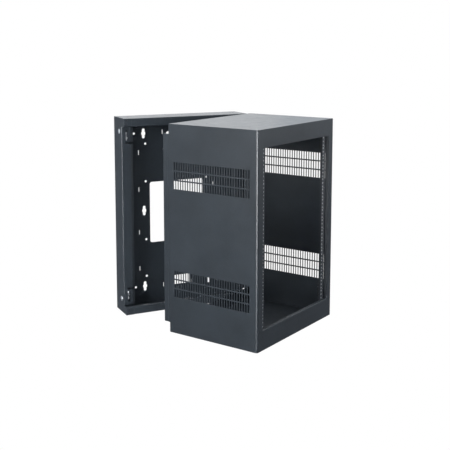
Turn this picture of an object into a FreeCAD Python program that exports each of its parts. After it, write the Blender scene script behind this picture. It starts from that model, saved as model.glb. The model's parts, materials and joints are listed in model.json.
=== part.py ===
"""Wall mount network cabinet: a wall pan and a swinging 16U centre section.

Millimetres. +X is right seen from the front, +Y points into the wall, +Z is up.
The origin is the middle of the pan's back plane, where it meets the wall. The pan
stands square to the axes. The centre section is modelled closed, in front of the
pan, and is then turned by OPEN_ANGLE about its hinge axis, which is how it stands.
"""
import math
import os

import FreeCAD
import Part

# ---- driving dimensions -----------------------------------------------------
HEIGHT = 864.0
WIDTH = 586.0
PAN_DEPTH = 130.0
BAY_DEPTH = 430.0
CLOSED_GAP = 1.5            # between the pan's front plane and the closed centre section
OPEN_ANGLE = 29.0

PAN_SHEET = 2.0
SHEET = 1.5
RAIL_SHEET = 3.0
BEND = 1.0                  # inner radius of the folds that show; the others are left sharp
SMALL_SIDES = 8             # small holes are many-sided, to keep the facets few
SCREW_SIDES = 6             # and screws, studs and threaded holes have six sides

# pan: top and bottom lips stand forward, the side lips lie back in a recess
LIP_HEIGHT = 36.0
LIP_RETURN = 15.0
RECESS = 33.0
SIDE_LIP = 53.0
SIDE_LIP_FLAT = 41.0        # as far in as the crease, then the edge leans back
SIDE_LIP_LEAN = 5.0

# latch notches, handle slots and finger holes in the side lips, from each end
NOTCH_FROM_END = 109.0
NOTCH_HEIGHT = 10.0
NOTCH_INSET = 17.0
HANDLE_SLOT_FROM_END = 80.0
HANDLE_SLOT_HEIGHT = 36.0
HANDLE_SLOT_WIDTH = 6.0
HANDLE_INSET = 22.0
LIP_HOLE_FROM_END = 55.0
LIP_HOLE_INSET = 24.0
LIP_HOLE_RADIUS = 5.0
PORT_RADIUS = 9.5           # cable ports in the side walls, closed by plugs
PORT_FROM_FRONT = 63.0
PORT_FROM_END = 60.0
PORT_SIDES = 16
PLUG_HEAD_RADIUS = 11.0
PLUG_HEAD = 2.5
PLUG_SKIRT = 3.0            # past the inner face of the wall
PLUG_FIT = 0.2
FLANGE_HOLE_X = (-253.0, 0.0, 253.0)
FLANGE_HOLE_RADIUS = 4.0

# holes of the wall panel, measured from its middle
WALL_HOLE_X = 203.2
WALL_HOLE_Z = 351.0
WALL_HOLE_RADIUS = 5.0
KEYHOLE_X = 158.75
KEYHOLE_Z = 350.0
KEYHOLE_RADIUS = 10.0
KEYHOLE_SLOT = 13.0
KEYHOLE_LENGTH = 44.0
KEYHOLE_SIDES = 12
SPARE_HOLES = ((150.0, 303.5), (150.0, 133.0))
LACING_SLITS = ((182.5, 265.0), (182.5, 98.0), (68.5, 353.5))
SLIT_WIDTH = 3.0
SLIT_LENGTH = 20.0
WINDOW_WIDTH = 262.0
WINDOW_HEIGHT = 278.0
WINDOW_DROP = 10.5
WINDOW_CORNER = 10.0
ENTRY_WIDTH = 120.0
ENTRY_HEIGHT = 43.0
ENTRY_Z = -338.0            # one cable entry, at the bottom
CONDUIT_X = 41.0            # and two round ones at the top
CONDUIT_Z = 345.0
CONDUIT_RADIUS = 9.0
CONDUIT_SIDES = 12

# plain screwed plates in the four front corners of the pan
CORNER_PLATE = 32.5
CORNER_PLATE_THICK = 1.0
CORNER_PLATE_FIT = 0.3
CORNER_SCREW_IN = 11.0
CORNER_SCREW_PITCH = 18.0
CORNER_SCREW_RADIUS = 2.2
CORNER_SCREW_SUNK = 0.2
CORNER_SCREW_LENGTH = 6.8

# centre section
FRONT_CORNER = 9.0
UPRIGHT = 37.5
UPRIGHT_RETURN = 14.0
TOP_BEZEL = 72.0            # the bottom one fills what the rack units leave
BEZEL_RETURN = 14.0
TOP_PANEL_HOLES = ((-210.0, 94.0), (-210.0, 301.0), (147.0, 295.0))  # x, and y from the front
TOP_PANEL_HOLE_RADIUS = 2.5
REAR_FLANGE = 36.0
REAR_STRIP = 30.8
REAR_STRIP_LAP = 20.0
REAR_STRIP_STEP_AT = 8.5
REAR_STRIP_STEP = 2.0
REAR_STRIP_RETURN = 12.5
REAR_STRIP_END = 41.0       # the strips stop short of the top and bottom edges
STRIP_GAP = 9.0             # gap in a strip's return for a leaf or tab
VENT_SLOT = 8.0
VENT_PITCH = 12.0
VENT_COUNT = 31
VENT_HEIGHT = 33.0
VENT_ROW_PITCH = 38.5
VENT_ROWS = 3
VENT_FROM_END = 153.0
VENT_FROM_FRONT = 37.0

# 19 inch equipment rails
RACK_UNITS = 16
UNIT = 44.45
HOLE_OFFSETS = (-15.875, 0.0, 15.875)
RAIL_HOLE_X = 232.55
RAIL_HOLE_RADIUS = 2.4
RAIL_INNER_X = 225.0
RAIL_OUTER_X = 250.0
RAIL_SETBACK = 15.0
RAIL_SIDE = 22.0
RAIL_SCREW_BACK = 13.0      # behind the rail's face
RAIL_SCREW_RADIUS = 3.0
RAIL_SCREW_REACH = 3.0      # head and tail past the two sheets
RAIL_SCREW_STEP = 10.0
RAIL_OVERRUN = 12.0
BRACKET_SHEET = 2.5
BRACKET_HEIGHT = 40.0
BRACKET_Z = 325.0
BRACKET_START = 4.0         # behind the rail's face
BRACKET_CLEAR = 8.0         # web of the bracket behind the rail's side
BRACKET_FOOT = 20.0

# hinge axis, seen from above: in from the right side, and back from the pan's front
HINGE_INSET = 8.0
HINGE_BACK = 42.0
LATCH_INSET = 24.0

# earth studs and their nuts
STUD_RADIUS = 3.0
STUD_LENGTH = 16.0
PAN_STUD_X = -240.0
PAN_STUD_Z = -395.0
BAY_STUD_FROM_REAR = 42.0
BAY_STUD_Z = -380.0
NUT_ACROSS = 10.0
NUT_HEIGHT = 5.0

# plungers and their brackets
GUIDE_FRONT = 5.8           # guide plates, in front of the axis and behind it
GUIDE_BACK = 24.0
GUIDE_PAST_AXIS = 7.5
GUIDE_FOOT = 2.5            # thickness of the bracket's foot, and where it starts behind the axis
GUIDE_FOOT_START = 7.5
PIN_RADIUS = 3.5
EYE_RADIUS = 5.5
HINGE_FIT = 0.1
LATCH_FIT = 0.4
LEAF_THICK = 5.0
NECK_INNER = 14.0
NECK_OUTER = 22.0
NECK_START = 92.0           # degrees round the axis
NECK_WEB_END = 122.0
NECK_END = 250.0
ARM_INNER = 8.0             # arm of a leaf or tab: across the axis, and in front of it
ARM_FRONT = 32.0
ARM_BACK = 19.0
FOOT_THICK = 3.0            # its foot on the rear strip
FOOT_START = 2.0
FOOT_HALF = 18.0
TAB_CLEAR = 0.8             # tab's side in the notch
TAB_HALF = 6.5
CLEVIS_GAP = 6.0
CLEVIS_PLATE = 3.0
PIN_BELOW = 6.0             # how far an engaged pin reaches past the middle of its leaf
COLLAR_FROM_LEAF = 12.0
COLLAR_HEIGHT = 5.0
COLLAR_RADIUS = 5.2
STEM_RADIUS = 2.5
TRAVEL = 9.5
SPRING_LENGTH = 16.0
SPRING_OUTER = 4.8
SPRING_INNER = 3.5
SPRING_GAP = 0.05
KNOB_RADIUS = 3.4
KNOB_LENGTH = 8.0
KNOB_CLEAR = 2.0            # between the knob and the lip
STEM_PAST_STOP = 2.0
HANDLE_ROD = 2.0

# ---- places that follow from them -------------------------------------------
HALF_W = WIDTH / 2
HALF_H = HEIGHT / 2
PAN_FRONT = -PAN_DEPTH
LIP_PLANE = PAN_FRONT + RECESS
BAY_REAR = PAN_FRONT - CLOSED_GAP
BAY_FRONT = BAY_REAR - BAY_DEPTH
OPENING_X = HALF_W - UPRIGHT
OPENING_TOP = HALF_H - TOP_BEZEL
BOTTOM_BEZEL = HEIGHT - RACK_UNITS * UNIT - TOP_BEZEL
RACK_MIDDLE = OPENING_TOP - RACK_UNITS * UNIT / 2
STRIP_REAR = BAY_REAR + REAR_STRIP
STRIP_OUTER = HALF_W - SHEET - REAR_STRIP_STEP
STRIP_TOP = HALF_H - REAR_STRIP_END
HINGE_X = HALF_W - HINGE_INSET
HINGE_Y = PAN_FRONT + HINGE_BACK
LATCH_X = -(HALF_W - LATCH_INSET)
LEAF_Z = HALF_H - NOTCH_FROM_END
HANDLE_X = HALF_W - HANDLE_INSET
RAIL_FRONT = BAY_FRONT + RAIL_SETBACK

X_AXIS = FreeCAD.Vector(1, 0, 0)
Z_AXIS = FreeCAD.Vector(0, 0, 1)


# ---- helpers ----------------------------------------------------------------
def box(x0, x1, y0, y1, z0, z1):
    """Box between two corners."""
    corner = FreeCAD.Vector(min(x0, x1), min(y0, y1), min(z0, z1))
    return Part.makeBox(abs(x1 - x0), abs(y1 - y0), abs(z1 - z0), corner)


def rod(radius, start, end):
    """Round bar between two points."""
    start = FreeCAD.Vector(*start)
    along = FreeCAD.Vector(*end) - start
    return Part.makeCylinder(radius, along.Length, start, along)


def prism(radius, start, end, sides=SMALL_SIDES):
    """Many-sided bar between two points, `radius` from its axis to the middle of each side."""
    start = FreeCAD.Vector(*start)
    along = FreeCAD.Vector(*end) - start
    corner = radius / math.cos(math.pi / sides)
    points = [FreeCAD.Vector(corner * math.cos(math.pi * (2 * step + 1) / sides),
                             corner * math.sin(math.pi * (2 * step + 1) / sides), 0)
              for step in range(sides + 1)]
    bar = Part.Face(Part.makePolygon(points)).extrude(Z_AXIS * along.Length)
    bar.Placement = FreeCAD.Placement(start, FreeCAD.Rotation(Z_AXIS, along))
    return bar


def fuse(first, *others):
    """One clean solid out of several that touch."""
    return first.fuse(list(others)).removeSplitter()


def cut(body, tools):
    """The body less all the tools."""
    return body.cut(list(tools))


def mirror_x(shape):
    """The same piece on the other side."""
    return shape.mirror(FreeCAD.Vector(0, 0, 0), X_AXIS)


def mirror_z(shape):
    """The same piece at the other end."""
    return shape.mirror(FreeCAD.Vector(0, 0, 0), Z_AXIS)


def fold_points(points, offset, thickness, bend):
    """End points and arc points of a folded sheet's face that lies `offset` left of its path."""
    faces = []
    last = len(points) - 1
    units = []
    for start, end in zip(points, points[1:]):
        length = math.hypot(end[0] - start[0], end[1] - start[1])
        units.append(((end[0] - start[0]) / length, (end[1] - start[1]) / length))
    for index, (u, v) in enumerate(points):
        before = units[max(index - 1, 0)]
        after = units[min(index, last - 1)]
        if index in (0, last):
            unit = after if index == 0 else before
            faces.append([(u - unit[1] * offset, v + unit[0] * offset)])
            continue
        turn = math.atan2(before[0] * after[1] - before[1] * after[0],
                          before[0] * after[0] + before[1] * after[1])
        side = math.copysign(1.0, turn)
        if not bend:
            scale = offset / (1 + math.cos(turn))
            faces.append([(u - (before[1] + after[1]) * scale, v + (before[0] + after[0]) * scale)])
            continue
        radius = bend + (abs(thickness) if side * thickness > 0 else 0.0)
        back = radius * math.tan(abs(turn) / 2)
        start = (u - before[0] * back, v - before[1] * back)
        centre = (start[0] - side * before[1] * radius, start[1] + side * before[0] * radius)
        reach = radius - side * offset
        arc = []
        for share in (0.0, 0.5, 1.0):
            angle = math.atan2(start[1] - centre[1], start[0] - centre[0]) + turn * share
            arc.append((centre[0] + reach * math.cos(angle), centre[1] + reach * math.sin(angle)))
        faces.append(arc)
    return faces


def folded_sheet(points, thickness, low, high, along="z", bend=0.0):
    """Sheet folded along a path and as long as low..high.

    The path is one face of the sheet. The sheet lies to its left, or to its right when
    the thickness is negative. Points are (x, y) along z, and (y, z) along x.
    """
    def place(point, level):
        if along == "z":
            return FreeCAD.Vector(point[0], point[1], level)
        return FreeCAD.Vector(level, point[0], point[1])

    outline = fold_points(points, 0.0, thickness, bend)
    inside = fold_points(points, thickness, thickness, bend)
    inside = [list(reversed(group)) for group in reversed(inside)]
    edges = []
    previous = None
    for group in outline + inside + outline[:1]:
        corner = [place(point, low) for point in group]
        if previous is not None:
            edges.append(Part.LineSegment(previous, corner[0]).toShape())
        if len(corner) == 3:
            edges.append(Part.Arc(*corner).toShape())
        previous = corner[-1]
    face = Part.Face(Part.Wire(edges))
    return face.extrude((Z_AXIS if along == "z" else X_AXIS) * (high - low))


def turned(shape):
    """The closed centre section's piece, turned open about the hinge axis."""
    shape = shape.copy()
    shape.rotate(FreeCAD.Vector(HINGE_X, HINGE_Y, 0), Z_AXIS, OPEN_ANGLE)
    return shape


PIECES = {}


def add(name, shape):
    """Keep a piece under the name of its node."""
    PIECES[name] = shape


def add_group(name, shapes):
    """Keep several separate solids as one node."""
    add(name, Part.makeCompound(list(shapes)))


# ---- wall pan ---------------------------------------------------------------
def keyhole(x, z):
    """Double-ended keyhole: the head goes in at the middle and hangs either way up."""
    reach = (KEYHOLE_LENGTH - KEYHOLE_SLOT) / 2
    half = KEYHOLE_SLOT / 2
    depth = (-3 * PAN_SHEET, PAN_SHEET)
    ends = [prism(half, (x, depth[0], z + side * reach), (x, depth[1], z + side * reach))
            for side in (-1, 1)]
    throat = box(x - half, x + half, depth[0], depth[1], z - reach, z + reach)
    head = prism(KEYHOLE_RADIUS, (x, depth[0], z), (x, depth[1], z), KEYHOLE_SIDES)
    return fuse(throat, head, *ends)


def rounded_window(width, height, corner, z):
    """Rectangular cut through the wall panel with round corners."""
    block = box(-width / 2, width / 2, -3 * PAN_SHEET, PAN_SHEET, z - height / 2, z + height / 2)
    upright = [edge for edge in block.Edges
               if abs(edge.Vertexes[0].Y - edge.Vertexes[1].Y) > PAN_SHEET]
    return block.makeFillet(corner, upright)


def wall_panel():
    """Flat back sheet that lies on the wall."""
    panel = box(-HALF_W + PAN_SHEET, HALF_W - PAN_SHEET, -PAN_SHEET, 0,
                -HALF_H + PAN_SHEET, HALF_H - PAN_SHEET)
    cuts = [rounded_window(WINDOW_WIDTH, WINDOW_HEIGHT, WINDOW_CORNER, -WINDOW_DROP),
            box(-ENTRY_WIDTH / 2, ENTRY_WIDTH / 2, -3 * PAN_SHEET, PAN_SHEET,
                ENTRY_Z - ENTRY_HEIGHT / 2, ENTRY_Z + ENTRY_HEIGHT / 2)]
    for x in (-KEYHOLE_X, KEYHOLE_X):
        for z in (-KEYHOLE_Z, 0.0, KEYHOLE_Z):
            cuts.append(keyhole(x, z))
    for side in (-1, 1):
        cuts.append(prism(CONDUIT_RADIUS, (side * CONDUIT_X, -3 * PAN_SHEET, CONDUIT_Z),
                          (side * CONDUIT_X, PAN_SHEET, CONDUIT_Z), CONDUIT_SIDES))
        for end in (-1, 1):
            for x, z in ((WALL_HOLE_X, WALL_HOLE_Z),) + SPARE_HOLES:
                shape = rod if x == WALL_HOLE_X else prism
                cuts.append(shape(WALL_HOLE_RADIUS, (side * x, -3 * PAN_SHEET, end * z),
                                  (side * x, PAN_SHEET, end * z)))
            for x, z in LACING_SLITS:
                cuts.append(box(side * x - SLIT_WIDTH / 2, side * x + SLIT_WIDTH / 2,
                                -3 * PAN_SHEET, PAN_SHEET,
                                end * z - SLIT_LENGTH / 2, end * z + SLIT_LENGTH / 2))
    return cut(panel, cuts)


def pan_flange():
    """Top flange with its front lip and the lip's return."""
    inner = HALF_W - PAN_SHEET
    path = [(0.0, HALF_H), (PAN_FRONT, HALF_H), (PAN_FRONT, HALF_H - LIP_HEIGHT),
            (PAN_FRONT + LIP_RETURN, HALF_H - LIP_HEIGHT)]
    flange = folded_sheet(path, PAN_SHEET, -inner, inner, along="x", bend=BEND)
    pocket = CORNER_PLATE + 2 * CORNER_PLATE_FIT
    back = PAN_FRONT + PORT_FROM_FRONT
    cuts = [prism(FLANGE_HOLE_RADIUS, (x, back, HALF_H - 5), (x, back, HALF_H + 5))
            for x in FLANGE_HOLE_X]
    for side in (-1, 1):
        edge = side * inner
        cuts.append(box(edge, edge - side * pocket, PAN_FRONT - 1, PAN_FRONT + CORNER_PLATE_THICK,
                        HALF_H - pocket, HALF_H))
        for x, z in corner_screw_places(side):
            cuts.append(prism(CORNER_SCREW_RADIUS, (x, PAN_FRONT - 1, z), (x, PAN_FRONT + 3, z),
                              SCREW_SIDES))
    return cut(flange, cuts)


def corner_screw_places(side):
    """Places of the two screws of a top corner plate."""
    x = side * (HALF_W - PAN_SHEET - CORNER_SCREW_IN)
    middle = HALF_H - CORNER_PLATE / 2 - CORNER_PLATE_FIT
    return [(x, middle + step * CORNER_SCREW_PITCH / 2) for step in (-1, 1)]


def corner_plate(side):
    """Plain plate let into the corner of the front lip."""
    edge = HALF_W - PAN_SHEET - CORNER_PLATE_FIT
    top = HALF_H - CORNER_PLATE_FIT
    plate = box(side * edge, side * (edge - CORNER_PLATE), PAN_FRONT, PAN_FRONT + CORNER_PLATE_THICK,
                top - CORNER_PLATE, top)
    holes = [prism(CORNER_SCREW_RADIUS, (x, PAN_FRONT - 1, z), (x, PAN_FRONT + 3, z), SCREW_SIDES)
             for x, z in corner_screw_places(side)]
    return cut(plate, holes)


def pan_side():
    """Left side wall: full depth at its two ends, and set back between them with a wide lip."""
    inner_edge = -HALF_W + SIDE_LIP
    crease = -HALF_W + SIDE_LIP_FLAT
    path = [(inner_edge, LIP_PLANE + SIDE_LIP_LEAN), (crease, LIP_PLANE), (-HALF_W, LIP_PLANE),
            (-HALF_W, 0.0)]
    path = list(reversed(path))
    wall = folded_sheet(path, PAN_SHEET, -HALF_H + LIP_HEIGHT, HALF_H - LIP_HEIGHT, bend=BEND)
    ends = [box(-HALF_W, -HALF_W + PAN_SHEET, PAN_FRONT, 0, low, low + LIP_HEIGHT)
            for low in (-HALF_H, HALF_H - LIP_HEIGHT)]
    wall = fuse(wall, *ends)
    cuts = []
    for end in (-1, 1):
        notch = end * LEAF_Z
        cuts.append(box(-HALF_W + NOTCH_INSET, inner_edge + 5, LIP_PLANE - 5, LIP_PLANE + 15,
                        notch - NOTCH_HEIGHT / 2, notch + NOTCH_HEIGHT / 2))
        slot = end * (HALF_H - HANDLE_SLOT_FROM_END)
        cuts.append(box(-HANDLE_X - HANDLE_SLOT_WIDTH / 2, -HANDLE_X + HANDLE_SLOT_WIDTH / 2,
                        LIP_PLANE - 5, LIP_PLANE + 5,
                        slot - HANDLE_SLOT_HEIGHT / 2, slot + HANDLE_SLOT_HEIGHT / 2))
        hole = (-HALF_W + LIP_HOLE_INSET, end * (HALF_H - LIP_HOLE_FROM_END))
        cuts.append(prism(LIP_HOLE_RADIUS, (hole[0], LIP_PLANE - 5, hole[1]),
                          (hole[0], LIP_PLANE + 5, hole[1])))
        port = (PAN_FRONT + PORT_FROM_FRONT, end * (HALF_H - PORT_FROM_END))
        cuts.append(prism(PORT_RADIUS, (-HALF_W - 5, port[0], port[1]),
                          (-HALF_W + 5, port[0], port[1]), PORT_SIDES))
    return cut(wall, cuts)


def port_plug():
    """Plug in the upper left cable port: a flat head outside and a skirt through the wall."""
    y = PAN_FRONT + PORT_FROM_FRONT
    z = HALF_H - PORT_FROM_END
    head = prism(PLUG_HEAD_RADIUS, (-HALF_W - PLUG_HEAD, y, z), (-HALF_W, y, z), PORT_SIDES)
    skirt = prism(PORT_RADIUS - PLUG_FIT, (-HALF_W, y, z),
                  (-HALF_W + PAN_SHEET + PLUG_SKIRT, y, z), PORT_SIDES)
    return fuse(head, skirt)


def build_pan():
    """All fixed pieces of the pan."""
    add("wall_panel", wall_panel())
    flange = pan_flange()
    add("pan_top_flange", flange)
    add("pan_bottom_flange", mirror_z(flange))
    side = pan_side()
    add("pan_left_side", side)
    add("pan_right_side", mirror_x(side))
    plugs = [port_plug(), mirror_z(port_plug())]
    add_group("port_plugs", plugs + [mirror_x(plug) for plug in plugs])
    screws = []
    for name, side in (("left", -1), ("right", 1)):
        plate = corner_plate(side)
        add("corner_plate_top_" + name, plate)
        add("corner_plate_bottom_" + name, mirror_z(plate))
        for x, z in corner_screw_places(side):
            face = PAN_FRONT + CORNER_SCREW_SUNK
            screw = prism(CORNER_SCREW_RADIUS, (x, face, z), (x, face + CORNER_SCREW_LENGTH, z),
                          SCREW_SIDES)
            screws += [screw, mirror_z(screw)]
    add_group("corner_plate_screws", screws)
    foot = (PAN_STUD_X, -PAN_SHEET, PAN_STUD_Z)
    add("pan_ground_stud", prism(STUD_RADIUS, foot, (foot[0], foot[1] - STUD_LENGTH, foot[2]),
                                 SCREW_SIDES))
    add("pan_ground_nut", hex_nut(foot, (foot[0], foot[1] - NUT_HEIGHT, foot[2])))


def hex_nut(start, end):
    """Hexagon nut on a stud that runs along the same line."""
    return prism(NUT_ACROSS / 2, start, end, 6).cut(prism(STUD_RADIUS, start, end, SCREW_SIDES))


# ---- plungers and their brackets --------------------------------------------
def plunger_bracket(side_x, pin_x, name):
    """Folded bracket on a side wall: two guide plates and the spring's stop plate.

    side_x is the side wall's inner face and pin_x the pin's axis.
    """
    inward = math.copysign(1.0, pin_x - side_x)
    front = HINGE_Y - GUIDE_FRONT
    back = HINGE_Y + GUIDE_BACK
    far = pin_x + inward * GUIDE_PAST_AXIS
    clevis = CLEVIS_GAP / 2
    stop = COLLAR_FROM_LEAF + COLLAR_HEIGHT + SPRING_LENGTH
    levels = (-clevis - CLEVIS_PLATE, clevis, stop)
    plates = [box(side_x, far, front, back, LEAF_Z + low, LEAF_Z + low + CLEVIS_PLATE)
              for low in levels]
    foot = box(side_x, side_x + inward * GUIDE_FOOT, HINGE_Y + GUIDE_FOOT_START, back,
               LEAF_Z + levels[0], LEAF_Z + levels[2] + CLEVIS_PLATE)
    bracket = fuse(foot, *plates)
    guide = prism(PIN_RADIUS + HINGE_FIT, (pin_x, HINGE_Y, LEAF_Z - clevis - 2 * CLEVIS_PLATE),
                  (pin_x, HINGE_Y, LEAF_Z + clevis + 2 * CLEVIS_PLATE))
    hole = prism(STEM_RADIUS + HINGE_FIT, (pin_x, HINGE_Y, LEAF_Z + stop - CLEVIS_PLATE),
                 (pin_x, HINGE_Y, LEAF_Z + stop + 2 * CLEVIS_PLATE))
    add(name, cut(bracket, [guide, hole]))


def plunger(pin_x, handle_x, lift):
    """Pin, collar, stem and handle as one turned and pressed piece.

    A pin that is also a hinge pin, with its handle straight in front of it, is round.
    """
    base = LEAF_Z + lift
    collar = base + COLLAR_FROM_LEAF
    top = LEAF_Z + COLLAR_FROM_LEAF + COLLAR_HEIGHT + SPRING_LENGTH + CLEVIS_PLATE + lift
    handle = collar + COLLAR_HEIGHT / 2
    knob = LIP_PLANE - KNOB_LENGTH - KNOB_CLEAR
    pin = rod if lift == 0.0 else prism
    pieces = [pin(PIN_RADIUS, (pin_x, HINGE_Y, base - PIN_BELOW), (pin_x, HINGE_Y, collar)),
              prism(COLLAR_RADIUS, (pin_x, HINGE_Y, collar), (pin_x, HINGE_Y, collar + COLLAR_HEIGHT)),
              prism(STEM_RADIUS, (pin_x, HINGE_Y, collar + COLLAR_HEIGHT),
                    (pin_x, HINGE_Y, top + STEM_PAST_STOP)),
              prism(HANDLE_ROD, (handle_x, HINGE_Y, handle), (handle_x, knob, handle)),
              prism(KNOB_RADIUS, (handle_x, knob, handle), (handle_x, knob + KNOB_LENGTH, handle))]
    if abs(handle_x - pin_x) > COLLAR_RADIUS:
        pieces.append(box(pin_x, handle_x + math.copysign(HANDLE_ROD, handle_x - pin_x),
                          HINGE_Y - HANDLE_ROD, HINGE_Y + HANDLE_ROD,
                          handle - HANDLE_ROD, handle + HANDLE_ROD))
    return fuse(*pieces)


def spring_space(pin_x, low, high):
    """Plain sleeve in the place of the compression spring round the stem."""
    ends = ((pin_x, HINGE_Y, low + SPRING_GAP), (pin_x, HINGE_Y, high - SPRING_GAP))
    return prism(SPRING_OUTER, *ends).cut(prism(SPRING_INNER, *ends))


def build_plungers():
    """Two hinge plungers on the right and two latch plungers on the left."""
    inner = HALF_W - PAN_SHEET
    stop = LEAF_Z + COLLAR_FROM_LEAF + COLLAR_HEIGHT + SPRING_LENGTH
    sets = (("hinge", inner, HINGE_X, HANDLE_X, 0.0), ("latch", -inner, LATCH_X, -HANDLE_X, TRAVEL))
    for kind, side_x, pin_x, handle_x, lift in sets:
        plunger_bracket(side_x, pin_x, kind + "_bracket_top")
        add(kind + "_bracket_bottom", mirror_z(PIECES[kind + "_bracket_top"]))
        pin = plunger(pin_x, handle_x, lift)
        add(kind + "_plunger_top", pin)
        add(kind + "_plunger_bottom", mirror_z(pin))
        spring = spring_space(pin_x, stop - SPRING_LENGTH + lift, stop)
        add(kind + "_spring_top", spring)
        add(kind + "_spring_bottom", mirror_z(spring))


# ---- hinge leaves and latch tabs --------------------------------------------
def polar(radius, degrees):
    """Point round the hinge axis."""
    angle = math.radians(degrees)
    return FreeCAD.Vector(HINGE_X + radius * math.cos(angle), HINGE_Y + radius * math.sin(angle), 0)


def neck(inner, outer, start, end):
    """Curved band round the hinge axis."""
    middle = (start + end) / 2
    edges = [Part.Arc(polar(outer, start), polar(outer, middle), polar(outer, end)).toShape(),
             Part.LineSegment(polar(outer, end), polar(inner, end)).toShape(),
             Part.Arc(polar(inner, end), polar(inner, middle), polar(inner, start)).toShape(),
             Part.LineSegment(polar(inner, start), polar(outer, start)).toShape()]
    band = Part.Face(Part.Wire(edges)).extrude(Z_AXIS * LEAF_THICK)
    band.translate(Z_AXIS * (LEAF_Z - LEAF_THICK / 2))
    return band


def leaf_foot(strip_face, thickness):
    """Upright foot of a leaf or tab, flat on its rear strip."""
    return box(strip_face, strip_face + thickness, BAY_REAR + FOOT_START, HINGE_Y - ARM_BACK,
               LEAF_Z - FOOT_HALF, LEAF_Z + FOOT_HALF)


def hinge_leaf():
    """Gooseneck leaf: it reaches round the edge of the pan's lip to an eye on the axis."""
    low = LEAF_Z - LEAF_THICK / 2
    high = LEAF_Z + LEAF_THICK / 2
    strip_face = STRIP_OUTER - SHEET
    eye = rod(EYE_RADIUS, (HINGE_X, HINGE_Y, low), (HINGE_X, HINGE_Y, high))
    web = neck(EYE_RADIUS - 2.0, NECK_INNER + 1.0, NECK_START, NECK_WEB_END)
    band = neck(NECK_INNER, NECK_OUTER, NECK_START, NECK_END)
    arm = box(HINGE_X - ARM_INNER, strip_face, HINGE_Y - ARM_FRONT, HINGE_Y - ARM_BACK, low, high)
    foot = leaf_foot(strip_face, -FOOT_THICK)
    leaf = fuse(eye, web, band, arm, foot)
    bore = rod(PIN_RADIUS + HINGE_FIT, (HINGE_X, HINGE_Y, low - 1), (HINGE_X, HINGE_Y, high + 1))
    return cut(leaf, [bore])


def latch_tab():
    """Flat tab that enters the notch of the left lip and takes the latch pin."""
    low = LEAF_Z - LEAF_THICK / 2
    high = LEAF_Z + LEAF_THICK / 2
    strip_face = -(STRIP_OUTER - SHEET)
    outer = -HALF_W + NOTCH_INSET + TAB_CLEAR
    inner = LATCH_X + TAB_HALF
    tongue = box(outer, inner, HINGE_Y - ARM_FRONT, HINGE_Y, low, high)
    tip = rod(inner - LATCH_X, (LATCH_X, HINGE_Y, low), (LATCH_X, HINGE_Y, high))
    tip = tip.common(box(outer, inner, HINGE_Y, HINGE_Y + TAB_HALF, low, high))
    arm = box(strip_face, inner, HINGE_Y - ARM_FRONT, HINGE_Y - ARM_BACK, low, high)
    foot = leaf_foot(strip_face, FOOT_THICK)
    tab = fuse(tongue, tip, arm, foot)
    bore = prism(PIN_RADIUS + LATCH_FIT, (LATCH_X, HINGE_Y, low - 1), (LATCH_X, HINGE_Y, high + 1))
    return cut(tab, [bore])


# ---- centre section ---------------------------------------------------------
def side_panel():
    """Left side panel: the front upright is folded from the same sheet with a large radius."""
    low = -HALF_H + SHEET
    high = HALF_H - SHEET
    upright = folded_sheet([(-OPENING_X, BAY_FRONT + UPRIGHT_RETURN), (-OPENING_X, BAY_FRONT),
                            (-HALF_W + FRONT_CORNER, BAY_FRONT)], -SHEET, low, high)
    plate = box(-HALF_W, -HALF_W + SHEET, BAY_FRONT + FRONT_CORNER, BAY_REAR, low, high)
    centre = FreeCAD.Vector(-HALF_W + FRONT_CORNER, BAY_FRONT + FRONT_CORNER, low)
    corner = Part.makeCylinder(FRONT_CORNER, high - low, centre)
    corner = corner.cut(Part.makeCylinder(FRONT_CORNER - SHEET, high - low, centre))
    corner = corner.common(box(-HALF_W, centre.x, BAY_FRONT, centre.y, low, high))
    panel = fuse(plate, corner, upright)
    slots = []
    for end in (-1, 1):
        for row in range(VENT_ROWS):
            top = HALF_H - VENT_FROM_END - row * VENT_ROW_PITCH
            for index in range(VENT_COUNT):
                y = BAY_FRONT + VENT_FROM_FRONT + index * VENT_PITCH
                slots.append(box(-HALF_W - 1, -HALF_W + SHEET + 1, y, y + VENT_SLOT,
                                 end * (top - VENT_HEIGHT), end * top))
    return cut(panel, slots)


def end_panel():
    """Top panel with its rear flange, inside the rounded front corners."""
    inner = HALF_W - SHEET
    path = [(BAY_REAR, HALF_H - REAR_FLANGE), (BAY_REAR, HALF_H), (BAY_FRONT + SHEET + 20.0, HALF_H)]
    folded = folded_sheet(path, SHEET, -inner, inner, along="x")
    plate = box(-HALF_W, HALF_W, BAY_FRONT, BAY_REAR - BEND - SHEET, HALF_H - SHEET, HALF_H)
    front = [edge for edge in plate.Edges if abs(edge.Vertexes[0].Z - edge.Vertexes[1].Z) > 1
             and edge.Vertexes[0].Y < BAY_FRONT + 1]
    plate = plate.makeFillet(FRONT_CORNER, front)
    return fuse(plate, folded)


def top_panel():
    """Top panel: an end panel with three small holes."""
    holes = [prism(TOP_PANEL_HOLE_RADIUS, (x, BAY_FRONT + y, HALF_H - 5), (x, BAY_FRONT + y, HALF_H + 5),
                   SCREW_SIDES) for x, y in TOP_PANEL_HOLES]
    return cut(end_panel(), holes)


def bezel(height):
    """Front bezel above the opening, between the two uprights."""
    low = HALF_H - height
    path = [(BAY_FRONT + BEZEL_RETURN, low), (BAY_FRONT, low), (BAY_FRONT, HALF_H - SHEET)]
    return folded_sheet(list(reversed(path)), SHEET, -OPENING_X, OPENING_X, along="x", bend=BEND)


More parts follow.
